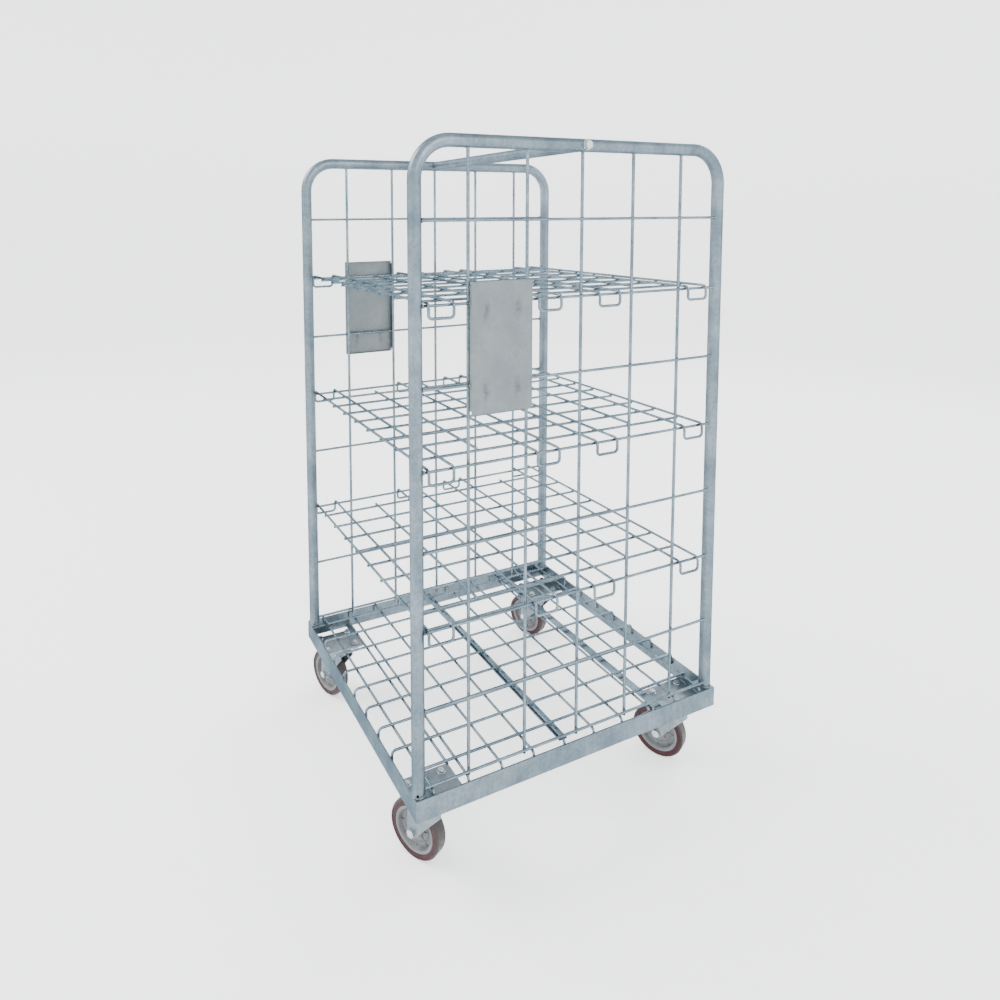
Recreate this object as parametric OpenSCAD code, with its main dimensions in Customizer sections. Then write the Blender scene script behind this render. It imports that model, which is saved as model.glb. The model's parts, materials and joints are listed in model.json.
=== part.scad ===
// Roll cage container: a mesh-decked base on four swivel casters, two tube-framed wire
// sides, a bolted tie bar across the top and three lift-off wire shelves.
// Millimetres, +Z up. The origin is on the floor at the middle of the whole part's outline.
// Pieces are drawn about the middle of the base, and the assembly moves them there.
// Right is +X, left is -X, the open front is -Y and the open rear is +Y.

/* [Base frame] */
// Outer width of the base, side to side
base_w = 710; // [690:2:730]
// Outer depth of the base, front to rear
base_d = 800; // [790:2:820]
// Height of the base rails
rail_h = 45; // [40:1:55]
// Thickness of the rails, which are flat bars set on edge
rail_t = 3.5; // [3:0.5:4.5]
// Diameter of the deck bars
deck_bar_d = 6; // [5:0.5:6]
// Spacing of the deck bars that run from front to rear
deck_pitch_x = 74; // [70:0.5:76]
// Spacing of the deck bars that run from side to side
deck_pitch_y = 79.6; // [79.6:0.1:80]
// Height of the front-to-rear bars and the lowest side wires above the rails, on their centres
deck_rise = 12; // [10:0.5:14]

/* [Side frames] */
// Outer diameter of the side frame tube
tube_d = 27; // [25:0.5:28]
// Wall thickness of the side frame tube
tube_wall = 2; // [1.5:0.25:3]
// Height of the centre of the top rails above the floor
top_rail_z = 1490; // [1470:5:1600]
// Bend radius of the tube's upper corners, on its centre line
tube_bend = 75; // [60:5:100]
// Inset of the post centres from the base's side faces
post_inset_x = 19; // [16:0.5:21]
// Inset of the post centres from the base's front and rear faces
post_inset_y = 13.5; // [13.5:0.5:18]
// Diameter of the upright side wires
upright_d = 7; // [6:0.5:7]
// Spacing of the upright side wires
upright_pitch = 136; // [130:1:136]
// Diameter of the level side wires
level_d = 6; // [5:0.5:7]
// Spacing of the level side wires
level_pitch = 160.3; // [158:0.1:161]

/* [Shelves] */
// Diameter of the shelf wire
shelf_d = 6; // [5:0.5:6]
// Drop of each hook outside the side wire
hook_drop = 30; // [26:1:36]
// Bend radius where a hook turns down, on the wire's centre line
hook_bend = 10; // [9:0.5:12]
// Spacing of the shelf's cross wires
shelf_pitch = 78; // [70:1:80]

/* [Casters] */
// Wheel diameter
wheel_d = 125; // [120:1:125]
// Wheel tread width
wheel_w = 32; // [30:1:32]
// Height of a caster from the floor to the top of its plate
caster_h = 160; // [158:1:165]
// Distance from the swivel axis back to the axle
trail = 34; // [32:1:38]
// Distance of the swivel axes from the centre plane, side to side
swivel_x = 290; // [284:1:292]
// Distance of the swivel axes from the centre plane, front to rear
swivel_y = 336; // [330:1:336]

/* [Hidden] */
$fn = 48;
CORNERS = ["front_right", "rear_right", "front_left", "rear_left"];
SHELVES = ["lower", "middle", "upper"];

// Gap left between pieces that are welded or pressed together
weld_gap = 0.05;

// Levels
rail_z0 = caster_h;
rail_top = rail_z0 + rail_h;
long_bar_z = rail_top + deck_rise;
cross_bar_z = long_bar_z - max(deck_bar_d, level_d) / 2 - deck_bar_d / 2 - weld_gap;
strip_h = 4;
strip_top = cross_bar_z - deck_bar_d / 2 - weld_gap;

// Inner faces of the rails
inner_x = base_w / 2 - rail_t;
inner_y = base_d / 2 - rail_t;

// The front and rear rails fit between the side rails
end_rail_len = 2 * inner_x;

// Post centres and side wires
post_x = base_w / 2 - post_inset_x;
post_y = base_d / 2 - post_inset_y;
level_x = post_x + (upright_d + level_d) / 2 + weld_gap;
level_count = 8;
level_z0 = long_bar_z;
upright_steps = [-2 : 2];

// Corner caps under the posts, just clear of the feet of the outermost cross bars
cross_bar_n = 10;
cross_bar_reach = (cross_bar_n - 1) / 2 * deck_pitch_y;
cap_size = inner_y - cross_bar_reach - deck_bar_d / 2 - 0.3;
cap_t = 4;

// Drain hole at the foot of each post, in its wall on the side of the base's corner
drain_d = 6;
drain_rise = 5;
drain_turn = 30;

// Caster mounting plates and their links to the side rails
mount_plate_w = 85;
mount_plate_t = 4;
mount_plate_y0 = 272;
mount_link_w = 15;

// Caster bolt pattern
bolt_dx = 60;
bolt_dy = 80;
bolt_d = 8;
bolt_hole_d = 9;

// Document plates
plate_t = 1;
plate_depth = 8;
plate_z0 = 960;
plate_h = 260;
plate_y0 = -2 * upright_pitch - 2;
plate_y1 = -upright_pitch + 2;
lip_notch = 7;

// Shelves: the side wires that carry them and the long wires across them
shelf_side_wire = [2, 4, 6];
rest_gap = 0.3;
hook_pairs = [[-353, -299], [-103.5, -49.5], [49.5, 103.5], [299, 353]];
mid_wires = [-204, 204];
// Where each shelf rests along its side wires: the lower one stands just clear of the front posts
post_clear = 1;
front_stop = hook_pairs[3][1] + shelf_d / 2 + post_clear - (post_y - tube_d / 2);
shelf_shift = [front_stop, front_stop + 2, front_stop + 3];
hook_corner = 8;
shelf_cross_n = 8;

// Caster pieces
plate_thick = 4;
crown_t = 4;
ball_d = 6;
ball_ring_r = 28;
ball_n = 18;
ball_play = 0.1;
crown_top = caster_h - plate_thick - ball_d - 2 * ball_play;
fork_gap = 19;
fork_t = 3.2;
fork_side = fork_gap + fork_t;
kingpin_d = 12;
axle_d = 10;
run_gap = 0.05;
axle_z = wheel_d / 2;
bush_d = 20;
core_r = 49;

ZINC = [0.66, 0.69, 0.72];
STEEL = [0.47, 0.52, 0.54];
CORE_GREY = [0.62, 0.63, 0.61];
MAROON = [0.30, 0.10, 0.12];

// Swivel angle at rest of the caster at a corner
function rest_turn(i) = [27, 26, 19, 19][i];
function side_x(i) = i < 2 ? 1 : -1;
function side_y(i) = i % 2 == 0 ? -1 : 1;
function level_z(n) = level_z0 + n * level_pitch;
function shelf_z(s) = level_z(shelf_side_wire[s]) + (level_d + shelf_d) / 2 + rest_gap;

// ---------- rods ----------

function unit(v) = v / norm(v);

// A straight rod of diameter d from p to q
module rod(p, q, d) {
    v = q - p;
    translate(p)
        rotate([0, acos(v[2] / norm(v)), atan2(v[1], v[0])])
            cylinder(h = norm(v), d = d);
}

// The bend of a rod of diameter d at corner b, between straight runs from a and to c
module rod_bend(a, b, c, d, r) {
    u = unit(b - a);
    w = unit(c - b);
    turn = acos(u * w);
    side = unit(w - u * (u * w));
    axis = cross(u, side);
    centre = b - u * r * tan(turn / 2) + side * r;
    multmatrix([[-side[0], u[0], axis[0], centre[0]],
                [-side[1], u[1], axis[1], centre[1]],
                [-side[2], u[2], axis[2], centre[2]],
                [0, 0, 0, 1]])
        rotate_extrude(angle = turn) translate([r, 0]) circle(d = d);
}

// How much of a straight run the bend of radius r at b uses up
function bend_trim(a, b, c, r) = r * tan(acos(unit(b - a) * unit(c - b)) / 2);

// A rod through the points in path, with bends of radius r at its inner corners
module bent_rod(path, d, r) {
    last = len(path) - 1;
    for (i = [0 : last - 1]) {
        run = unit(path[i + 1] - path[i]);
        t0 = i == 0 ? 0 : bend_trim(path[i - 1], path[i], path[i + 1], r);
        t1 = i == last - 1 ? 0 : bend_trim(path[i], path[i + 1], path[i + 2], r);
        rod(path[i] + run * t0, path[i + 1] - run * t1, d);
    }
    for (i = [1 : last - 1]) rod_bend(path[i - 1], path[i], path[i + 1], d, r);
}

// ---------- base frame ----------

// A flat bar on edge, whose outer face is x = 0 and which runs along y
module rail(len) {
    translate([0, -len / 2, 0]) cube([rail_t, len, rail_h]);
}

module base_rail_left() {
    color(STEEL) translate([-base_w / 2, 0, rail_z0]) rail(base_d);
}

module base_rail_right() {
    color(STEEL) translate([base_w / 2, 0, rail_z0]) rotate([0, 0, 180]) rail(base_d);
}

module base_rail_front() {
    color(STEEL) translate([0, -base_d / 2, rail_z0]) rotate([0, 0, 90]) rail(end_rail_len);
}

module base_rail_rear() {
    color(STEEL) translate([0, base_d / 2, rail_z0]) rotate([0, 0, -90]) rail(end_rail_len);
}

// Caps in the corners of the base that the posts stand on
module corner_caps() {
    color(STEEL)
        for (sx = [-1, 1], sy = [-1, 1])
            scale([sx, sy, 1])
                translate([inner_x - cap_size, inner_y - cap_size, rail_top - cap_t])
                    cube([cap_size, cap_size, cap_t]);
}

// Plates in the corners of the base that the casters bolt to, each with a link to its side rail
module caster_mounting_plates() {
    reach_x = inner_x - weld_gap;
    reach_y = inner_y - weld_gap;
    color(ZINC)
        for (i = [0 : 3])
            scale([side_x(i), side_y(i), 1])
                difference() {
                    translate([0, 0, rail_z0]) linear_extrude(height = mount_plate_t) {
                        translate([swivel_x - mount_plate_w / 2 - 4, mount_plate_y0])
                            square([mount_plate_w, reach_y - mount_plate_y0]);
                        translate([swivel_x, mount_plate_y0])
                            square([reach_x - swivel_x, mount_link_w]);
                    }
                    for (dx = [-1, 1], dy = [-1, 1])
                        translate([swivel_x + dx * bolt_dx / 2, swivel_y + dy * bolt_dy / 2, rail_z0 - 1])
                            cylinder(h = mount_plate_t + 2, d = bolt_hole_d);
                }
}

// ---------- deck ----------

bar_foot_z = rail_top - 15;
bar_bend = 9;

// A deck bar along x at height z, with both ends bent down against the rails' inner faces
module deck_bar(half_len, z) {
    end = half_len - weld_gap - deck_bar_d / 2;
    bent_rod([[-end, 0, bar_foot_z], [-end, 0, z], [end, 0, z], [end, 0, bar_foot_z]],
             deck_bar_d, bar_bend);
}

// Bars that run from front to rear; the outermost pair ends just past the outermost cross bars
module deck_long_bars() {
    short_end = cross_bar_reach + 4;
    color(ZINC) {
        for (n = [-3 : 3])
            translate([n * deck_pitch_x, 0, 0])
                rotate([0, 0, 90]) deck_bar(inner_y, long_bar_z);
        for (s = [-1, 1])
            rod([s * 4 * deck_pitch_x, -short_end, long_bar_z],
                [s * 4 * deck_pitch_x, short_end, long_bar_z], deck_bar_d);
    }
}

// Bars that run from side to side, and one short extra bar near the front
extra_bar_y = -301;
extra_bar_half = 298;
module deck_cross_bars() {
    color(ZINC) {
        for (n = [0 : cross_bar_n - 1])
            translate([0, n * deck_pitch_y - cross_bar_reach, 0]) deck_bar(inner_x, cross_bar_z);
        rod([-extra_bar_half, extra_bar_y, cross_bar_z],
            [extra_bar_half, extra_bar_y, cross_bar_z], deck_bar_d);
    }
}

// Flat strips at the underside of the cross bars. The front one lies along a cross bar and ends
// where that bar bends down; the rear one lies between two bars and reaches the rails.
strip_w = 20;
strip_y = [-36, 224];
strip_reach = [inner_x - weld_gap - deck_bar_d / 2 - bar_bend - 1, inner_x - weld_gap];
module deck_support_strips() {
    color(ZINC)
        for (n = [0, 1])
            translate([-strip_reach[n], strip_y[n] - strip_w / 2, strip_top - strip_h])
                cube([2 * strip_reach[n], strip_w, strip_h]);
}

// ---------- sides ----------

tie_bolt_d = 10;

// The path of a side tube's centre line: up one post, along the top and down the other
module side_tube_solid(d, drop) {
    bent_rod([[0, -post_y, rail_top - drop], [0, -post_y, top_rail_z],
              [0, post_y, top_rail_z], [0, post_y, rail_top - drop]], d, tube_bend);
}

// A side tube with its tie bolt hole and drain holes; side is 1 on the right and -1 on the left
module side_tube(side) {
    difference() {
        side_tube_solid(tube_d, 0);
        side_tube_solid(tube_d - 2 * tube_wall, 1);
        translate([-tube_d, 0, top_rail_z]) rotate([0, 90, 0])
            cylinder(h = 2 * tube_d, d = tie_bolt_d + 0.5);
        for (end = [-1, 1])
            scale([side, 1, 1])
                translate([0, end * post_y, rail_top + drain_rise])
                    rotate([0, 90, end * drain_turn]) cylinder(h = tube_d, d = drain_d);
    }
}

module side_upright_wires() {
    for (n = upright_steps)
        rod([0, n * upright_pitch, rail_top + 1],
            [0, n * upright_pitch, top_rail_z - tube_d / 2 - weld_gap], upright_d);
}

// Level wires on the outer side of the uprights; side is 1 on the right and -1 on the left
module side_level_wires(side) {
    near = level_x - level_d / 2 - post_x;
    end_y = post_y - sqrt(pow(tube_d / 2, 2) - pow(near, 2)) - weld_gap;
    for (n = [0 : level_count - 1])
        rod([side * level_x, -end_y, level_z(n)], [side * level_x, end_y, level_z(n)], level_d);
}

// A shallow tray of sheet steel on the outside of the side wires, open towards them
module document_plate(side) {
    back = level_x + level_d / 2 + weld_gap;
    scale([side, 1, 1]) {
        translate([back + plate_depth - plate_t, plate_y0, plate_z0])
            cube([plate_t, plate_y1 - plate_y0, plate_h]);
        for (y = [plate_y0, plate_y1 - plate_t])
            translate([back, y, plate_z0 + lip_notch])
                cube([plate_depth - plate_t, plate_t, plate_h - 2 * lip_notch]);
        for (z = [plate_z0, plate_z0 + plate_h - plate_t])
            translate([back, plate_y0 + lip_notch, z])
                cube([plate_depth - plate_t, plate_y1 - plate_y0 - 2 * lip_notch, plate_t]);
    }
}

module side_tube_left() {
    color(STEEL) translate([-post_x, 0, 0]) side_tube(-1);
}

module side_tube_right() {
    color(STEEL) translate([post_x, 0, 0]) side_tube(1);
}

module side_upright_wires_left() {
    color(ZINC) translate([-post_x, 0, 0]) side_upright_wires();
}

module side_upright_wires_right() {
    color(ZINC) translate([post_x, 0, 0]) side_upright_wires();
}

module side_level_wires_left() {
    color(ZINC) side_level_wires(-1);
}

module side_level_wires_right() {
    color(ZINC) side_level_wires(1);
}

module document_plate_left() {
    color(ZINC) document_plate(-1);
}

module document_plate_right() {
    color(ZINC) document_plate(1);
}

// ---------- tie bar ----------

tie_d = 25;
tie_end = post_x - tube_d / 2 - weld_gap;
plug_len = 24;
tie_washer_t = 2.5;
tie_head_h = 6.4;

// The tube across the top, open at both ends for its threaded plugs
module tie_bar() {
    color(STEEL) translate([-tie_end, 0, top_rail_z]) rotate([0, 90, 0])
        difference() {
            cylinder(h = 2 * tie_end, d = tie_d);
            translate([0, 0, -1]) cylinder(h = 2 * tie_end + 2, d = tie_d - 2 * tube_wall);
        }
}

module tie_bar_plugs() {
    color(ZINC)
        for (s = [-1, 1])
            scale([s, 1, 1])
                translate([tie_end - plug_len, 0, top_rail_z]) rotate([0, 90, 0])
                    difference() {
                        cylinder(h = plug_len, d = tie_d - 2 * tube_wall - 2 * weld_gap);
                        translate([0, 0, -1]) cylinder(h = plug_len + 2, d = tie_bolt_d + 2 * weld_gap);
                    }
}

// Bolts through the top rails into the plugs: dished washer, hexagonal head and shank
module tie_bar_bolts() {
    head_af = 16;
    outer = post_x + tube_d / 2 + weld_gap;
    shank = 44;
    color(ZINC)
        for (s = [-1, 1])
            scale([s, 1, 1])
                translate([outer, 0, top_rail_z]) rotate([0, 90, 0]) {
                    cylinder(h = tie_washer_t, d = 21);
                    translate([0, 0, tie_washer_t])
                        cylinder(h = tie_head_h, d = head_af / cos(30), $fn = 6);
                    translate([0, 0, -shank]) cylinder(h = shank, d = tie_bolt_d);
                }
}

// ---------- shelves ----------

// One hook at the right end: out over the side wire, down, across and back up to its pair
module shelf_hook(y0, y1) {
    down_x = level_x + hook_bend;
    drop = -hook_drop;
    start = [level_x, y0, 0];
    finish = [level_x, y1, 0];
    knee0 = [down_x, y0, 0];
    knee1 = [down_x, y1, 0];
    foot0 = [down_x, y0, drop];
    foot1 = [down_x, y1, drop];
    leg0 = [down_x, y0, -hook_bend];
    leg1 = [down_x, y1, -hook_bend];
    rod_bend(start - [20, 0, 0], knee0, foot0, shelf_d, hook_bend);
    rod_bend(foot1, knee1, finish - [20, 0, 0], shelf_d, hook_bend);
    bent_rod([leg0, foot0, foot1, leg1], shelf_d, hook_corner);
}

module shelf_hooks(s) {
    color(ZINC)
        for (side = [-1, 1], pair = hook_pairs)
            translate([0, shelf_shift[s], shelf_z(s)])
                scale([side, 1, 1]) shelf_hook(pair[0], pair[1]);
}

// Long wires: the hooked ones reach both side wires, the two others end at the last cross wires
module shelf_long_wires(s) {
    mid_end = (shelf_cross_n - 1) / 2 * shelf_pitch + 4;
    color(ZINC) translate([0, shelf_shift[s], shelf_z(s)]) {
        for (pair = hook_pairs, y = pair)
            rod([-level_x, y, 0], [level_x, y, 0], shelf_d);
        for (y = mid_wires)
            rod([-mid_end, y, 0], [mid_end, y, 0], shelf_d);
    }
}

module shelf_cross_wires(s) {
    reach = hook_pairs[3][1] + shelf_d / 2;
    color(ZINC) translate([0, shelf_shift[s], shelf_z(s) - shelf_d - weld_gap])
        for (n = [0 : shelf_cross_n - 1]) {
            x = (n - (shelf_cross_n - 1) / 2) * shelf_pitch;
            rod([x, -reach, 0], [x, reach, 0], shelf_d);
        }
}

// ---------- casters ----------

// Places its children at the swivel axis of corner i, turned to the caster's rest angle
module at_swivel(i, turn = true) {
    translate([side_x(i) * swivel_x, side_y(i) * swivel_y, 0])
        rotate([0, 0, turn ? rest_turn(i) : 0]) children();
}

// Places its children at the bolt holes of corner i
module at_bolts(i) {
    for (dx = [-1, 1], dy = [-1, 1])
        at_swivel(i, false) translate([dx * bolt_dx / 2, dy * bolt_dy / 2, 0]) children();
}

module caster_bolts() {
    head_h = 5.3;
    head_z = rail_z0 + mount_plate_t;
    shank = 17;
    color(ZINC)
        for (i = [0 : 3])
            at_bolts(i) {
                translate([0, 0, head_z]) cylinder(h = head_h, d = 13 / cos(30), $fn = 6);
                translate([0, 0, head_z - shank]) cylinder(h = shank, d = bolt_d);
            }
}

module caster_nuts() {
    nut_h = 6.5;
    color(ZINC)
        for (i = [0 : 3])
            at_bolts(i)
                translate([0, 0, caster_h - plate_thick - nut_h])
                    difference() {
                        cylinder(h = nut_h, d = 13 / cos(30), $fn = 6);
                        translate([0, 0, -1]) cylinder(h = nut_h + 2, d = bolt_d + 2 * weld_gap);
                    }
}

// Top plate with its four holes, and the kingpin riveted into it
module caster_head(i) {
    plate_x = 85;
    plate_y = 105;
    round_r = 8;
    collar_d = 22;
    collar_h = 4;
    rivet_d = 18;
    rivet_h = 2;
    color(ZINC)
        at_swivel(i, false) {
            difference() {
                translate([0, 0, caster_h - plate_thick]) linear_extrude(height = plate_thick) {
                    square([plate_x - 2 * round_r, plate_y], center = true);
                    square([plate_x, plate_y - 2 * round_r], center = true);
                    for (sx = [-1, 1], sy = [-1, 1])
                        translate([sx * (plate_x / 2 - round_r), sy * (plate_y / 2 - round_r)])
                            circle(r = round_r);
                }
                for (dx = [-1, 1], dy = [-1, 1])
                    translate([dx * bolt_dx / 2, dy * bolt_dy / 2, caster_h - plate_thick - 1])
                        cylinder(h = plate_thick + 2, d = bolt_hole_d);
                translate([0, 0, caster_h - plate_thick - 1])
                    cylinder(h = plate_thick + 2, d = kingpin_d + 2 * weld_gap);
                translate([0, 0, caster_h - rivet_h - weld_gap])
                    cylinder(h = plate_thick, d = rivet_d + 2 * weld_gap);
            }
            translate([0, 0, caster_h - rivet_h]) cylinder(h = rivet_h, d = rivet_d);
            translate([0, 0, crown_top - 2 * crown_t - 1])
                cylinder(h = caster_h - rivet_h - crown_top + 2 * crown_t + 1, d = kingpin_d);
            translate([0, 0, crown_top - 2 * crown_t - ball_play - collar_h])
                cylinder(h = collar_h, d = collar_d);
        }
}

// Ring of bearing balls between each top plate and fork crown
module swivel_balls() {
    color("silver")
        for (i = [0 : 3], b = [0 : ball_n - 1])
            at_swivel(i, false)
                rotate([0, 0, b * 360 / ball_n])
                    translate([ball_ring_r, 0, crown_top + ball_play + ball_d / 2])
                        sphere(d = ball_d, $fn = 24);
}

// Side outline of a fork leg: wide under the crown, narrowing to a round end at the axle
module fork_outline() {
    eye_r = 12;
    rear = trail + eye_r;
    front = 40;
    leg_top = crown_top - crown_t;
    polygon([[-rear, axle_z], [-rear + 2, leg_top], [front, leg_top], [front, leg_top - 14],
             [-trail + eye_r * cos(35), axle_z - eye_r * sin(35)], [-trail, axle_z]]);
    translate([-trail, axle_z]) circle(r = eye_r);
}

// Fork: round crown on two bent-down legs with axle holes
module caster_fork(i) {
    crown_r = 36;
    rim_t = 2;
    rim_h = 5;
    leg_top = crown_top - crown_t;
    bend_r = 5;
    color(ZINC)
        at_swivel(i)
            difference() {
                union() {
                    intersection() {
                        rotate([90, 0, 90]) translate([0, 0, -60]) linear_extrude(height = 120) {
                            for (s = [-1, 1])
                                translate([s > 0 ? fork_gap : -fork_side, 0])
                                    square([fork_t, leg_top - bend_r]);
                            translate([-fork_side + bend_r, leg_top - crown_t])
                                square([2 * (fork_side - bend_r), crown_t]);
                            for (s = [-1, 1])
                                translate([s * (fork_side - bend_r), leg_top - bend_r])
                                    intersection() {
                                        difference() {
                                            circle(r = bend_r);
                                            circle(r = bend_r - fork_t);
                                        }
                                        translate([s > 0 ? 0 : -bend_r, 0]) square(bend_r);
                                    }
                        }
                        rotate([90, 0, 0]) translate([0, 0, -40])
                            linear_extrude(height = 80) fork_outline();
                    }
                    translate([0, 0, leg_top]) cylinder(h = crown_t, r = crown_r);
                    translate([0, 0, leg_top]) difference() {
                        cylinder(h = crown_t + rim_h, r = crown_r);
                        cylinder(h = crown_t + rim_h + 1, r = crown_r - rim_t);
                    }
                }
                translate([0, 0, leg_top - 2 * crown_t])
                    cylinder(h = 4 * crown_t, d = kingpin_d + 2 * run_gap);
                translate([-trail, -50, axle_z]) rotate([-90, 0, 0])
                    cylinder(h = 100, d = axle_d + 2 * weld_gap);
            }
}

// Axle bolt: head, shank and nut, on the fork's legs
module caster_axle(i) {
    head_h = 6.4;
    nut_h = 8;
    head_d = 16 / cos(30);
    color("silver")
        at_swivel(i) translate([-trail, 0, axle_z]) rotate([90, 0, 0]) {
            translate([0, 0, fork_side + weld_gap]) cylinder(h = head_h, d = head_d, $fn = 6);
            translate([0, 0, -fork_side - nut_h - 3])
                cylinder(h = 2 * fork_side + nut_h + 3 + weld_gap, d = axle_d);
            translate([0, 0, -fork_side - nut_h - weld_gap])
                difference() {
                    cylinder(h = nut_h, d = head_d, $fn = 6);
                    translate([0, 0, -1]) cylinder(h = nut_h + 2, d = axle_d + 2 * weld_gap);
                }
        }
}

// Turns a profile drawn in radius and half width about the axle of corner i
module about_axle(i) {
    at_swivel(i) translate([-trail, 0, axle_z]) rotate([90, 0, 0])
        rotate_extrude($fn = 96) children();
}

// Moulded wheel body: rim, recessed web and hub
module wheel_core(i) {
    rim_in = 42;
    rim_half = wheel_w / 2 - 2;
    web_half = 5;
    hub_r = 17;
    hub_half = 18;
    hub_in = bush_d / 2 + weld_gap;
    color(CORE_GREY)
        about_axle(i)
            polygon([[hub_in, -hub_half], [hub_r - 2, -hub_half], [hub_r, -hub_half + 2],
                     [hub_r + 3, -web_half], [rim_in - 3, -web_half], [rim_in, -rim_half],
                     [core_r, -rim_half], [core_r, rim_half], [rim_in, rim_half],
                     [rim_in - 3, web_half], [hub_r + 3, web_half], [hub_r, hub_half - 2],
                     [hub_r - 2, hub_half], [hub_in, hub_half]]);
}

// Tread: a thick ring with rounded shoulders
tread_shoulder = 5;
module wheel_tread(i) {
    inner = core_r + weld_gap;
    outer = wheel_d / 2;
    half = wheel_w / 2;
    shoulder = tread_shoulder;
    color(MAROON)
        about_axle(i)
            union() {
                translate([inner, -half + 1]) square([outer - inner - shoulder, wheel_w - 2]);
                translate([inner, -half + shoulder]) square([outer - inner, wheel_w - 2 * shoulder]);
                for (s = [-1, 1])
                    translate([outer - shoulder, s * (half - shoulder)])
                        scale([1, s]) intersection() {
                            circle(r = shoulder);
                            square(shoulder);
                        }
            }
}

// Plain bearing bush pressed into the wheel's hub
module wheel_bush(i) {
    half = 18.6;
    color("silver")
        about_axle(i)
            translate([axle_d / 2 + run_gap, -half])
                square([(bush_d - axle_d) / 2 - run_gap, 2 * half]);
}

// ---------- assembly ----------

// How far the left casters' wheels and the right tie bolt reach from the middle of the base
left_reach = swivel_x + (trail + wheel_d / 2 - tread_shoulder) * cos(rest_turn(2))
             + (wheel_w / 2 - tread_shoulder) * sin(rest_turn(2)) + tread_shoulder;
right_reach = post_x + tube_d / 2 + weld_gap + tie_washer_t + tie_head_h;
origin_shift = (left_reach - right_reach) / 2;

translate([origin_shift, 0, 0]) {
    base_rail_front();
    base_rail_rear();
    base_rail_left();
    base_rail_right();
    corner_caps();
    caster_mounting_plates();
    deck_long_bars();
    deck_cross_bars();
    deck_support_strips();
    side_tube_left();
    side_tube_right();
    side_upright_wires_left();
    side_upright_wires_right();
    side_level_wires_left();
    side_level_wires_right();
    document_plate_left();
    document_plate_right();
    tie_bar();
    tie_bar_plugs();
    tie_bar_bolts();
    for (s = [0 : 2]) {
        shelf_hooks(s);
        shelf_long_wires(s);
        shelf_cross_wires(s);
    }
    caster_bolts();
    caster_nuts();
    swivel_balls();
    for (i = [0 : 3]) {
        caster_head(i);
        caster_fork(i);
        caster_axle(i);
        wheel_core(i);
        wheel_tread(i);
        wheel_bush(i);
    }
}
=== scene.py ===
"""Looks for the roll cage container: zinc finishes, welds, washers and wheel detail on the CAD."""

import json
import math
import random

import bpy
from mathutils import Matrix, Vector


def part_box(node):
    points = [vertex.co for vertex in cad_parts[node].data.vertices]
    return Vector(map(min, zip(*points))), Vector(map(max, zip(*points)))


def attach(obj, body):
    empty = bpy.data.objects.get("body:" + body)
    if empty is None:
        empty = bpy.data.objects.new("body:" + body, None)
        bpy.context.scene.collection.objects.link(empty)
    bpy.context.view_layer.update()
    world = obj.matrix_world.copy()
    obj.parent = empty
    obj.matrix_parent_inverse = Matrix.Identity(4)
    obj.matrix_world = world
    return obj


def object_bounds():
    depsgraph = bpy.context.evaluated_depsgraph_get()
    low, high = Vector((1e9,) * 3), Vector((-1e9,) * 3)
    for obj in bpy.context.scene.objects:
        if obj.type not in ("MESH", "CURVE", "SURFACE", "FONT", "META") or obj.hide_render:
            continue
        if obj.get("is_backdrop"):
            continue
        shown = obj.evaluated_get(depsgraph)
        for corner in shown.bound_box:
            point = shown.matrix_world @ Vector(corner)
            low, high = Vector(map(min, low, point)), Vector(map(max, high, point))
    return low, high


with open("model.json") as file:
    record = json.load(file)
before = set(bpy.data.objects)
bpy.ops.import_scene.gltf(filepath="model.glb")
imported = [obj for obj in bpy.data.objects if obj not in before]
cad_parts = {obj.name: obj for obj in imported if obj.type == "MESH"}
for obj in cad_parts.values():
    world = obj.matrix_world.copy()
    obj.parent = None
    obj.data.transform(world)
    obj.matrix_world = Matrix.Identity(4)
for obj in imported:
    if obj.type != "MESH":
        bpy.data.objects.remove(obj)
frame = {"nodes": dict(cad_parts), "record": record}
cad_lo, cad_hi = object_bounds()
record = frame["record"]
nodes = frame["nodes"]
rng = random.Random(7)

# ---------------------------------------------------------------- materials


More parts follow.
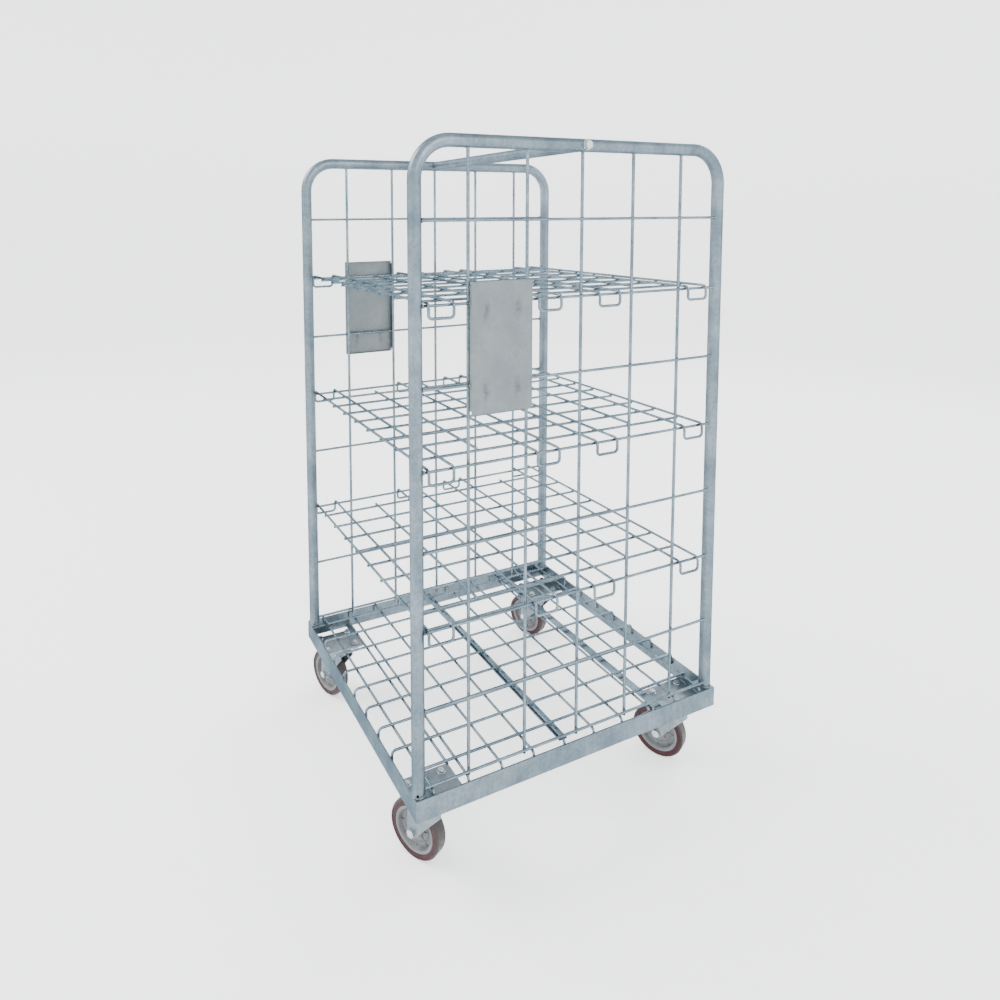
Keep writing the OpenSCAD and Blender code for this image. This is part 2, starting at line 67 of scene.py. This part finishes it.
class Tree:
    """A material's node tree, with short calls to add nodes and join them.

    A noise's scale is in lumps per metre, and a bump's distance is in metres.
    """

    def __init__(self, name):
        self.mat = bpy.data.materials.new(name)
        self.mat.use_nodes = True
        self.nt = self.mat.node_tree
        self.bsdf = self.nt.nodes["Principled BSDF"]
        self.place = self.nt.nodes.new("ShaderNodeTexCoord").outputs["Object"]

    def join(self, a, b):
        self.nt.links.new(a, b)

    def scaled(self, factors):
        n = self.nt.nodes.new("ShaderNodeMapping")
        n.inputs["Scale"].default_value = factors
        self.join(self.place, n.inputs["Vector"])
        return n.outputs["Vector"]

    def noise(self, scale, detail=4.0, rough=0.55, where=None, distortion=0.0):
        n = self.nt.nodes.new("ShaderNodeTexNoise")
        n.inputs["Scale"].default_value = scale
        n.inputs["Detail"].default_value = detail
        n.inputs["Roughness"].default_value = rough
        n.inputs["Distortion"].default_value = distortion
        self.join(where or self.place, n.inputs["Vector"])
        return n.outputs["Fac"]

    def cells(self, scale):
        """A value that is constant in each crystal of the zinc."""
        v = self.nt.nodes.new("ShaderNodeTexVoronoi")
        v.inputs["Scale"].default_value = scale
        self.join(self.place, v.inputs["Vector"])
        s = self.nt.nodes.new("ShaderNodeSeparateColor")
        self.join(v.outputs["Color"], s.inputs["Color"])
        return s.outputs["Red"]

    def smudge(self, y, z, half_y, half_z):
        """A soft uneven spot at y, z, for the dull heat mark over a spot weld."""
        n = self.nt.nodes.new("ShaderNodeMapping")
        n.inputs["Scale"].default_value = (0, 1 / half_y, 1 / half_z)
        n.inputs["Location"].default_value = (0, -y / half_y, -z / half_z)
        self.join(self.place, n.inputs["Vector"])
        g = self.nt.nodes.new("ShaderNodeTexGradient")
        g.gradient_type = "SPHERICAL"
        self.join(n.outputs["Vector"], g.inputs["Vector"])
        m = self.nt.nodes.new("ShaderNodeMath")
        m.operation = "MULTIPLY"
        self.join(g.outputs["Fac"], m.inputs[0])
        self.join(self.ramp(self.noise(110, 5), [(0.32, 0.0), (0.62, 0.95)]), m.inputs[1])
        return m.outputs["Value"]

    def from_rim(self, centre, axis, radius):
        """How deep a point lies under the rim of a wheel, as a share of the wheel's radius."""
        n = self.nt.nodes.new("ShaderNodeMapping")
        n.vector_type = "TEXTURE"
        n.inputs["Location"].default_value = centre
        n.inputs["Rotation"].default_value = axis.to_track_quat("Z", "Y").to_euler()
        n.inputs["Scale"].default_value = (radius, radius, 1000)
        self.join(self.place, n.inputs["Vector"])
        g = self.nt.nodes.new("ShaderNodeTexGradient")
        g.gradient_type = "SPHERICAL"
        self.join(n.outputs["Vector"], g.inputs["Vector"])
        return g.outputs["Fac"]

    def ramp(self, value, stops):
        r = self.nt.nodes.new("ShaderNodeValToRGB")
        points = r.color_ramp.elements
        while len(points) < len(stops):
            points.new(0.5)
        for e, (at, colour) in zip(points, stops):
            e.position = at
            rgb = colour if hasattr(colour, "__len__") else (colour,) * 3
            e.color = (*rgb, 1.0)
        self.join(value, r.inputs["Fac"])
        return r.outputs["Color"]

    def mix(self, a, b, amount, blend="MIX"):
        m = self.nt.nodes.new("ShaderNodeMix")
        m.data_type = "RGBA"
        m.blend_type = blend
        for socket, value in ((m.inputs["Factor"], amount), (m.inputs["A"], a), (m.inputs["B"], b)):
            if isinstance(value, (int, float)):
                socket.default_value = value
            elif isinstance(value, tuple):
                socket.default_value = (*value, 1.0)
            else:
                self.join(value, socket)
        return m.outputs["Result"]

    def bump(self, height, distance, strength=1.0, after=None):
        b = self.nt.nodes.new("ShaderNodeBump")
        b.inputs["Strength"].default_value = strength
        b.inputs["Distance"].default_value = distance
        self.join(height, b.inputs["Height"])
        if after is not None:
            self.join(after, b.inputs["Normal"])
        return b.outputs["Normal"]

    def finish(self, colour, roughness, normal, metallic, edge=(1, 1, 1), shine=0.5):
        self.join(colour, self.bsdf.inputs["Base Color"])
        self.join(roughness, self.bsdf.inputs["Roughness"])
        self.join(normal, self.bsdf.inputs["Normal"])
        self.bsdf.inputs["Metallic"].default_value = metallic
        self.bsdf.inputs["Specular Tint"].default_value = (*edge, 1.0)
        self.bsdf.inputs["Specular IOR Level"].default_value = shine
        return self.mat


# Where each document plate is spot-welded to the wires behind it, and half the size of each mark:
# y and z in metres
PLATE_MARKS = [(-0.242, 1.166), (-0.168, 1.166), (-0.242, 1.005), (-0.168, 1.005)]
MARK_HALF_SIZE = (0.011, 0.030)

# Runs in the zinc are drawn out along the axes that are scaled down most
RUNS_DOWN, RUNS_LEVEL, RUNS_NO_WAY = (1, 1, 0.12), (0.2, 0.2, 1), (1, 1, 1)
GRIME = (0.17, 0.165, 0.15)
HEAT_MARK = (0.075, 0.092, 0.108)
DARK_EDGE = (0.26, 0.31, 0.35)


def zinc(
    name, dark, light, rough, crystal, metallic, streak=RUNS_DOWN, grime=0.25, marks=(), uneven=1.0
):
    """Zinc over steel: crystals, cloudy patches, runs along one way, fine grit and dull spots."""
    t = Tree(name)
    patches = t.ramp(t.noise(14, 5), [(0.35, dark), (0.68, light)])
    spangle = t.ramp(t.cells(crystal), [(0.0, 0.86), (1.0, 1.12)])
    colour = t.mix(patches, spangle, 0.75 * uneven, "MULTIPLY")
    runs = t.ramp(t.noise(90, 3, where=t.scaled(streak)), [(0.3, 0.84), (0.62, 1.06)])
    colour = t.mix(colour, runs, 0.6 * uneven, "MULTIPLY")
    spots = t.ramp(t.noise(46, 8, 0.7), [(0.60, 0.0), (0.76, grime)])
    colour = t.mix(colour, GRIME, spots)
    for y, z in marks:
        colour = t.mix(colour, HEAT_MARK, t.smudge(y, z, *MARK_HALF_SIZE))
    roughness = t.ramp(t.noise(190, 4), [(0.3, rough - 0.08), (0.7, rough + 0.10)])
    grit = t.bump(t.noise(900, 3), 0.00012, 0.55)
    lumps = t.bump(t.noise(150, 3), 0.0005, 0.4, grit)
    return t.finish(colour, roughness, lumps, metallic, edge=DARK_EDGE)


def tread_material(name, centre, axis):
    """Maroon polyurethane with painted shade: dark grey towards its running surface."""
    t = Tree("maroon_polyurethane_" + name)
    colour = t.ramp(t.noise(60, 5), [(0.3, (0.020, 0.002, 0.004)), (0.7, (0.040, 0.004, 0.008))])
    # Painted shade: the outer ring of the tread, its running surface, is darkened to grey
    crown_shade = t.ramp(t.from_rim(centre, axis, 0.0625), [(0.02, 0.85), (0.12, 0.0)])
    colour = t.mix(colour, (0.030, 0.027, 0.027), crown_shade)
    dust = t.ramp(t.noise(230, 7, 0.7), [(0.58, 0.0), (0.84, 0.14)])
    colour = t.mix(colour, (0.34, 0.30, 0.28), dust)
    roughness = t.ramp(t.noise(160, 4), [(0.3, 0.34), (0.75, 0.60)])
    scratches = t.bump(t.noise(420, 5, distortion=1.2), 0.0004, 0.5)
    return t.finish(colour, roughness, scratches, 0.0, shine=0.28)


def core_material():
    t = Tree("grey_moulded_plastic")
    colour = t.ramp(t.noise(40, 4), [(0.3, (0.115, 0.123, 0.127)), (0.7, (0.160, 0.168, 0.172))])
    dirt = t.ramp(t.noise(120, 8, 0.7), [(0.54, 0.0), (0.80, 0.5)])
    colour = t.mix(colour, (0.085, 0.080, 0.070), dirt)
    roughness = t.ramp(t.noise(210, 3), [(0.3, 0.42), (0.7, 0.62)])
    grain = t.bump(t.noise(1400, 2), 0.0001, 0.5)
    return t.finish(colour, roughness, grain, 0.0, shine=0.35)


MATERIALS = {
    "frame_zinc": zinc(
        "dull_zinc", (0.115, 0.150, 0.178), (0.185, 0.232, 0.262), 0.36, 170, 0.86
    ),
    "wire_zinc": zinc(
        "bright_zinc_wire", (0.105, 0.145, 0.175), (0.20, 0.25, 0.285), 0.27, 420, 0.96, RUNS_LEVEL
    ),
    "sheet_zinc": zinc(
        "galvanised_sheet", (0.155, 0.190, 0.212), (0.25, 0.285, 0.305), 0.36, 120, 0.86
    ),
    "bright_fastener": zinc(
        "bright_fasteners", (0.42, 0.45, 0.475), (0.64, 0.66, 0.68), 0.24, 600, 0.95, grime=0.35
    ),
    "bush_steel": zinc(
        "turned_steel", (0.30, 0.30, 0.30), (0.45, 0.45, 0.445), 0.30, 700, 0.95, RUNS_NO_WAY, 0.4
    ),
    "wheel_plastic": core_material(),
}
weld = zinc(
    "weld_metal", (0.13, 0.165, 0.19), (0.24, 0.28, 0.305), 0.32, 500, 0.88, RUNS_NO_WAY, 0.4
)
plate = zinc(
    "plate_sheet", (0.150, 0.170, 0.178), (0.180, 0.202, 0.208), 0.44, 90, 0.80,
    grime=0.08, marks=PLATE_MARKS, uneven=0.35,
)

joints = {j["name"]: j for j in record["behaviour"]["joints"]}
CORNERS = ["front_right", "rear_right", "front_left", "rear_left"]
own = {"document_plate_" + side: plate for side in ("left", "right")}
for c in CORNERS:
    spin = joints["spin_" + c]
    own["wheel_tread_" + c] = tread_material(c, spin["pos_m"], Vector(spin["axis"]).normalized())
slot_of = {s["node"]: s["material_slot"] for s in record["subparts"]}
for name, o in nodes.items():
    o.data.materials.clear()
    o.data.materials.append(own[name] if name in own else MATERIALS[slot_of[name]])

# Widths of the edges broken by the zinc bath and by pressing, in metres
SOFT_EDGES = {
    "base_rail": 0.0007,
    "corner_caps": 0.0006,
    "caster_mounting_plates": 0.0008,
    "deck_support_strips": 0.0006,
    "document_plate": 0.0003,
    "caster_bolts": 0.0005,
    "caster_nuts": 0.0005,
    "tie_bar_bolts": 0.0006,
    "caster_axle": 0.0005,
}
for name, o in nodes.items():
    for start, width in SOFT_EDGES.items():
        if name.startswith(start):
            bevel = o.modifiers.new("edges", "BEVEL")
            bevel.width = width
            bevel.segments = 2
            bevel.limit_method = "ANGLE"
            bevel.angle_limit = math.radians(40)

# ---------------------------------------------------------------- sizes from the frame

MM = 0.001


def mm(*lengths):
    return tuple(v * MM for v in lengths)


# Everything below is laid out about the middle of the base, which isn't the frame's origin
middle = Vector(((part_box("base_rail_left")[0].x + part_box("base_rail_right")[1].x) / 2, 0, 0))


def box(name):
    """A CAD node's box, measured from the middle of the base."""
    lo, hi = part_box(name)
    return Vector(lo) - middle, Vector(hi) - middle


lo, hi = box("base_rail_right")
base_x, base_y, rail_top, rail_bottom = hi.x, hi.y, hi.z, lo.z
rail_t = hi.x - lo.x
inner_x, inner_y = base_x - rail_t, base_y - rail_t
lo, hi = box("side_tube_right")
post_x = (lo.x + hi.x) / 2
tube_r = (hi.x - lo.x) / 2
post_y = hi.y - tube_r
top_z = hi.z - tube_r
lo, hi = box("side_upright_wires_right")
upright_r = (hi.x - lo.x) / 2
upright_pitch = (hi.y - upright_r) / 2
lo, hi = box("side_level_wires_right")
level_r = (hi.x - lo.x) / 2
level_x = (lo.x + hi.x) / 2
level_end = hi.y
level_z0, level_zn = lo.z + level_r, hi.z - level_r
LEVELS = [level_z0 + (level_zn - level_z0) * n / 7 for n in range(8)]
PLATE_LEVELS = LEVELS[5:7]
UPRIGHTS = [n * upright_pitch for n in range(-2, 3)]
# Radius of a deck bar and of a shelf wire
bar_r = 3 * MM
lo, hi = box("deck_cross_bars")
cross_bar_z = hi.z - bar_r
CROSS_Y = [(hi.y - bar_r) * (n - 4.5) / 4.5 for n in range(10)]
lo, hi = box("deck_long_bars")
long_bar_z = hi.z - bar_r
LONG_X = [(hi.x - bar_r) * n / 4 for n in range(-4, 5)]
# The bars' feet are welded to the rails this far above their ends
foot_weld_z = lo.z + 9 * MM

# ---------------------------------------------------------------- small shapes


def build(name, verts, faces, body, mat):
    """A mesh piece from points about the base's middle, kept inside the CAD box, on a body."""
    edge = 0.00005
    kept = [
        tuple(min(max(p[i] + middle[i], cad_lo[i] + edge), cad_hi[i] - edge) for i in range(3))
        for p in verts
    ]
    mesh = bpy.data.meshes.new(name)
    mesh.from_pydata(kept, [], faces)
    mesh.validate()
    mesh.update()
    mesh.polygons.foreach_set("use_smooth", [True] * len(mesh.polygons))
    mesh.materials.append(mat)
    o = bpy.data.objects.new(name, mesh)
    bpy.context.scene.collection.objects.link(o)
    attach(o, body)
    return o


class Pile:
    """Collects many small closed shapes into one piece."""

    def __init__(self):
        self.verts, self.faces = [], []

    def add(self, verts, faces):
        base = len(self.verts)
        self.verts += [tuple(v) for v in verts]
        self.faces += [tuple(base + i for i in f) for f in faces]

    def bead(self, centre, radii, rough=0.14, rings=6, sides=10):
        """A lump of weld: an uneven ellipsoid."""
        pts = [(0, 0, 1)]
        for i in range(1, rings):
            a = math.pi * i / rings
            for j in range(sides):
                b = 2 * math.pi * j / sides
                pts.append((math.sin(a) * math.cos(b), math.sin(a) * math.sin(b), math.cos(a)))
        pts.append((0, 0, -1))
        out = []
        for p in pts:
            k = 1 + rng.uniform(-rough, rough)
            out.append(tuple(centre[i] + p[i] * radii[i] * k for i in range(3)))
        last = len(pts) - 1
        faces = []
        for j in range(sides):
            n = (j + 1) % sides
            faces.append((0, 1 + j, 1 + n))
            for i in range(rings - 2):
                a, b = 1 + i * sides, 1 + (i + 1) * sides
                faces.append((a + j, b + j, b + n, a + n))
            a = 1 + (rings - 2) * sides
            faces.append((a + j, last, a + n))
        self.add(out, faces)

    def crossing(self, centre):
        """The flat spot weld between two crossing bars."""
        self.bead(centre, mm(3.2, 3.2, 1.1), rings=4, sides=8)

    def seam(self, p, q, radius, step=0.0028):
        """A run of weld from p to q, rippled like overlapping drops."""
        p, q = Vector(p), Vector(q)
        along = (q - p).normalized()
        side = along.orthogonal().normalized()
        up = along.cross(side)
        count = max(4, int((q - p).length / step * 3))
        sides = 10
        verts, faces = [tuple(p)], []
        for i in range(count + 1):
            t = i / count
            ripple = 0.84 + 0.16 * abs(math.sin(math.pi * i / 3))
            r = radius * ripple * (0.93 + 0.14 * rng.random())
            r *= min(1.0, 0.35 + 3.2 * min(t, 1 - t) * count / 6)
            for j in range(sides):
                a = 2 * math.pi * j / sides
                verts.append(tuple(p + (q - p) * t + (side * math.cos(a) + up * math.sin(a)) * r))
        verts.append(tuple(q))
        for j in range(sides):
            n = (j + 1) % sides
            faces.append((0, 1 + n, 1 + j))
            for i in range(count):
                a, b = 1 + i * sides, 1 + (i + 1) * sides
                faces.append((a + j, a + n, b + n, b + j))
            a = 1 + count * sides
            faces.append((a + j, a + n, len(verts) - 1))
        self.add(verts, faces)

    def ring_seam(self, centre, radius, thick, drops=34):
        """A run of weld round an upright tube's foot."""
        steps, sides = drops * 3, 8
        verts, faces = [], []
        for i in range(steps):
            a = 2 * math.pi * i / steps
            r = thick * (0.82 + 0.18 * abs(math.sin(math.pi * i / 3))) * (0.9 + 0.2 * rng.random())
            for j in range(sides):
                b = 2 * math.pi * j / sides
                d = radius + r * math.cos(b)
                x, y = d * math.cos(a), d * math.sin(a)
                verts.append((centre[0] + x, centre[1] + y, centre[2] + r * math.sin(b)))
        for i in range(steps):
            for j in range(sides):
                a, b, n = i * sides, ((i + 1) % steps) * sides, (j + 1) % sides
                faces.append((a + j, b + j, b + n, a + n))
        self.add(verts, faces)

    def turned(self, profile, matrix, steps=64):
        """A closed ring: a profile of (radius, height) turned about the matrix's own Z axis."""
        count = len(profile)
        verts, faces = [], []
        for i in range(steps):
            a = 2 * math.pi * i / steps
            for r, h in profile:
                verts.append(tuple(matrix @ Vector((r * math.cos(a), r * math.sin(a), h))))
        for i in range(steps):
            for j in range(count):
                a, b, n = i * count, ((i + 1) % steps) * count, (j + 1) % count
                faces.append((a + j, b + j, b + n, a + n))
        self.add(verts, faces)

    def make(self, name, body, slot, mat):
        return build(name, self.verts, self.faces, body, mat)


# ---------------------------------------------------------------- welds on the sides

# A bead's three radii are along X, Y and Z. Offsets of under a millimetre sink it into its metal.
for sign, label in ((1, "right"), (-1, "left")):
    pile = Pile()
    contact_x = sign * (post_x + upright_r)
    for z in LEVELS:
        for y in UPRIGHTS:
            pile.bead((contact_x, y, z), mm(1.5, 3.5, 3.5))
        for end in (-1, 1):
            at = (sign * (level_x - 0.6 * MM), end * (level_end - 0.3 * MM), z)
            pile.bead(at, mm(4.3, 2.7, 4.5))
    for y in UPRIGHTS:
        pile.bead((sign * post_x, y, top_z - tube_r + 0.2 * MM), mm(4.7, 4.7, 2.0))
    lo, hi = box("document_plate_" + label)
    for z in PLATE_LEVELS:
        for y in (lo.y + 0.6 * MM, hi.y - 0.6 * MM):
            pile.bead((sign * (level_x + level_r + 0.3 * MM), y, z), mm(2.0, 2.6, 3.0))
    for end in (-1, 1):
        foot = (sign * post_x, end * post_y, rail_top + 0.4 * MM)
        pile.ring_seam(foot, tube_r + 0.2 * MM, 1.6 * MM)
    pile.make("welds_side_" + label, "frame", "frame_zinc", weld)

# ---------------------------------------------------------------- welds on the base

pile = Pile()
for x in LONG_X:
    for y in CROSS_Y:
        pile.crossing((x, y, (long_bar_z + cross_bar_z) / 2))
for x in LONG_X[1:-1]:
    for end in (-1, 1):
        pile.bead((x, end * (inner_y - 0.4 * MM), foot_weld_z), mm(4.6, 2.2, 5.5))
for y in CROSS_Y:
    for end in (-1, 1):
        pile.bead((end * (inner_x - 0.4 * MM), y, foot_weld_z), mm(2.2, 4.6, 5.5))

# Only the rear strip reaches the side rails
strip_half_w, strip_seam = 10 * MM, 8 * MM
strip_y = box("deck_support_strips")[1].y - strip_half_w
for end in (-1, 1):
    x = end * (inner_x - 0.3 * MM)
    pile.seam((x, strip_y - strip_seam, rail_top), (x, strip_y + strip_seam, rail_top), 1.7 * MM)

# Up the inside of the rails' corners
for sx in (-1, 1):
    for sy in (-1, 1):
        x, y = sx * inner_x, sy * inner_y
        pile.seam((x, y, rail_bottom + 3 * MM), (x, y, rail_top - 8 * MM), 2.3 * MM)

# Two short runs along each caster mounting plate's edge
PLATE_SEAM_X, plate_seam = mm(262, 306), 12 * MM
plate_top = box("caster_mounting_plates")[1].z
for sx in (-1, 1):
    for sy in (-1, 1):
        for x in PLATE_SEAM_X:
            y = sy * (inner_y - 0.4 * MM)
            start, stop = sx * (x - plate_seam), sx * (x + plate_seam)
            pile.seam((start, y, plate_top), (stop, y, plate_top), 1.9 * MM)
pile.make("welds_base", "frame", "frame_zinc", weld)

# Washers under the caster bolts, which stand at these distances from the swivel axis
BOLT_X, BOLT_Y = mm(30, 40)
WASHER = [(4.05, 0.02), (8.4, 0.02), (8.8, 0.4), (8.8, 1.1), (8.4, 1.5), (4.05, 1.5)]
pile = Pile()
for c in CORNERS:
    x0, y0, _ = Vector(joints["swivel_" + c]["pos_m"]) - middle
    for dx in (-BOLT_X, BOLT_X):
        for dy in (-BOLT_Y, BOLT_Y):
            place = Matrix.Translation((x0 + dx, y0 + dy, plate_top))
            pile.turned([mm(r, h) for r, h in WASHER], place, 28)
pile.make("caster_washers", "frame", "bright_fastener", MATERIALS["bright_fastener"])

# ---------------------------------------------------------------- welds on the shelves

LONG_WIRE_Y = (-353, -299, -204, -103.5, -49.5, 49.5, 103.5, 204, 299, 353)
for s in ("lower", "middle", "upper"):
    lo, hi = box("shelf_%s_long_wires" % s)
    z = lo.z
    shift = (lo.y + hi.y) / 2
    first = box("shelf_%s_cross_wires" % s)[0].x + bar_r
    CROSS_X = [first + (-2 * first) * n / 7 for n in range(8)]
    pile = Pile()
    for y in LONG_WIRE_Y:
        for x in CROSS_X:
            pile.crossing((x, y * MM + shift, z))
    pile.make("welds_shelf_" + s, "shelf_" + s, "wire_zinc", weld)

# ---------------------------------------------------------------- wheels

# Raised rings and ribs on each side of a wheel, as radius and height from its middle, in mm
OUTER_RING = [(43.4, 13.6), (44.0, 14.7), (45.2, 15.1), (47.4, 15.1), (48.4, 14.6), (48.7, 13.6)]
INNER_RING = [(28.6, 4.6), (29.2, 6.1), (30.4, 6.5), (31.6, 6.1), (32.2, 4.6)]
HUB_RING = [(10.2, 17.6), (10.4, 18.4), (13.2, 18.4), (13.6, 17.6)]
RIB_TOPS = [(18.2, 8.2), (24.0, 6.2), (32.0, 6.0), (39.6, 7.2)]
RIB_COUNT, RIB_FOOT = 8, 4.4
RIB_HALF_FOOT, RIB_HALF_TOP = 1.5, 1.1


def facing(profile, end):
    """A profile on the wheel's side given by end, in metres, with its faces turned outwards."""
    ring = [(r * MM, end * h * MM) for r, h in profile]
    return ring if end > 0 else ring[::-1]


def rib(place, angle, end):
    """A rib from the hub to the rim, wider at its foot."""
    radial = Vector((math.cos(angle), math.sin(angle), 0))
    across = Vector((-math.sin(angle), math.cos(angle), 0))
    verts, faces = [], []
    for r, top in RIB_TOPS:
        section = (
            (-RIB_HALF_FOOT, RIB_FOOT),
            (-RIB_HALF_TOP, top),
            (RIB_HALF_TOP, top),
            (RIB_HALF_FOOT, RIB_FOOT),
        )
        for w, h in section:
            local = radial * r * MM + across * w * MM + Vector((0, 0, end * h * MM))
            verts.append(tuple(place @ local))
    for i in range(len(RIB_TOPS) - 1):
        for j in range(4):
            n = (j + 1) % 4
            faces.append((i * 4 + j, i * 4 + n, i * 4 + 4 + n, i * 4 + 4 + j))
    faces += [(3, 2, 1, 0), (12, 13, 14, 15)]
    return verts, faces if end > 0 else [f[::-1] for f in faces]


for c in CORNERS:
    spin = joints["spin_" + c]
    axis = Vector(spin["axis"]).normalized()
    turn = axis.to_track_quat("Z", "Y").to_matrix().to_4x4()
    place = Matrix.Translation(Vector(spin["pos_m"]) - middle) @ turn
    rims, hubs = Pile(), Pile()
    for end in (-1, 1):
        rims.turned(facing(OUTER_RING, end), place, 96)
        rims.turned(facing(INNER_RING, end), place, 96)
        for k in range(RIB_COUNT):
            rims.add(*rib(place, 2 * math.pi * k / RIB_COUNT, end))
        hubs.turned(facing(HUB_RING, end), place, 48)
    rims.make("wheel_ribs_" + c, "wheel_" + c, "wheel_plastic", MATERIALS["wheel_plastic"])
    hubs.make("hub_rings_" + c, "wheel_" + c, "bush_steel", MATERIALS["bush_steel"])

# ---------------------------------------------------------------- floor, light and camera


def stage_material(name, colour, rough):
    t = Tree(name)
    tint = t.ramp(t.noise(3, 3), [(0.3, tuple(v * 0.985 for v in colour)), (0.7, colour)])
    roughness = t.ramp(t.noise(8, 3), [(0.3, rough - 0.04), (0.7, rough + 0.04)])
    t.bsdf.inputs["Emission Color"].default_value = (1.0, 1.0, 1.0, 1.0)
    t.bsdf.inputs["Emission Strength"].default_value = 0.8
    return t.finish(tint, roughness, t.bump(t.noise(40, 3), 0.0002, 0.1), 0.0)


# A round studio: a flat floor that curves up into a wall, just under the wheels, in metres
FLOOR_R, CURVE_R, WALL_H = 8.0, 3.0, 9.0
FLOOR_Z = -0.0002
CURVE_STEPS, sides = 8, 72
rings = [(r, 0.0) for r in (0.0001, 2.0, 5.0, FLOOR_R)]
for k in range(1, CURVE_STEPS + 1):
    a = math.radians(90 * k / CURVE_STEPS)
    rings.append((FLOOR_R + CURVE_R * math.sin(a), CURVE_R * (1 - math.cos(a))))
rings.append((FLOOR_R + CURVE_R, WALL_H))
verts = [
    (r * math.cos(2 * math.pi * j / sides), r * math.sin(2 * math.pi * j / sides), z + FLOOR_Z)
    for r, z in rings
    for j in range(sides)
]
faces = [
    (a + j, a + (j + 1) % sides, a + sides + (j + 1) % sides, a + sides + j)
    for a in range(0, (len(rings) - 1) * sides, sides)
    for j in range(sides)
]
mesh = bpy.data.meshes.new("studio")
mesh.from_pydata(verts, [], faces)
mesh.polygons.foreach_set("use_smooth", [True] * len(faces))
mesh.materials.append(stage_material("pale_studio", (0.90, 0.90, 0.90), 0.8))
studio = bpy.data.objects.new("studio", mesh)
bpy.context.scene.collection.objects.link(studio)
studio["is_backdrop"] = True

world = bpy.data.worlds.new("studio_light")
world.use_nodes = True
world.node_tree.nodes["Background"].inputs["Color"].default_value = (0.93, 0.965, 1.0, 1.0)
world.node_tree.nodes["Background"].inputs["Strength"].default_value = 1.55
bpy.context.scene.world = world


LIT_POINT = Vector((0, 0, 0.75))


def softbox(name, where, size, power, colour):
    """A rectangular light that faces the middle of the cage."""
    light = bpy.data.lights.new(name, "AREA")
    light.shape = "RECTANGLE"
    light.size, light.size_y = size
    light.energy = power
    light.color = colour
    o = bpy.data.objects.new(name, light)
    o.location = where
    o.rotation_mode = "QUATERNION"
    o.rotation_quaternion = (LIT_POINT - Vector(where)).to_track_quat("-Z", "Y")
    bpy.context.scene.collection.objects.link(o)


softbox("key", (-2.2, -3.4, 4.6), (2.4, 2.4), 300, (1.0, 0.985, 0.96))
softbox("fill", (4.4, 0.6, 3.2), (2.0, 3.0), 70, (0.92, 0.96, 1.0))
softbox("back", (-1.0, 4.2, 3.6), (3.0, 1.6), 130, (0.95, 0.975, 1.0))

cam_data = bpy.data.cameras.new("camera")
cam_data.sensor_width = 36.0
cam_data.lens = 26.084
cam_data.shift_x = 0.0886
cam_data.shift_y = -0.2239
cam_data.clip_start, cam_data.clip_end = 0.05, 60.0
camera = bpy.data.objects.new("camera", cam_data)
# Where the camera stands, from the middle of the base, and the directions of its own axes
eye = (1.55267 + middle.x, -0.96535, 1.34855)
right = Vector((0.42621, 0.90459, -0.00758))
up = Vector((-0.07215, 0.04234, 0.99649))
back = Vector((0.90174, -0.42417, 0.08331))
camera.matrix_world = Matrix(
    (
        (right.x, up.x, back.x, eye[0]),
        (right.y, up.y, back.y, eye[1]),
        (right.z, up.z, back.z, eye[2]),
        (0, 0, 0, 1),
    )
)
bpy.context.scene.collection.objects.link(camera)
bpy.context.scene.camera = camera

lo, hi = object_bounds()
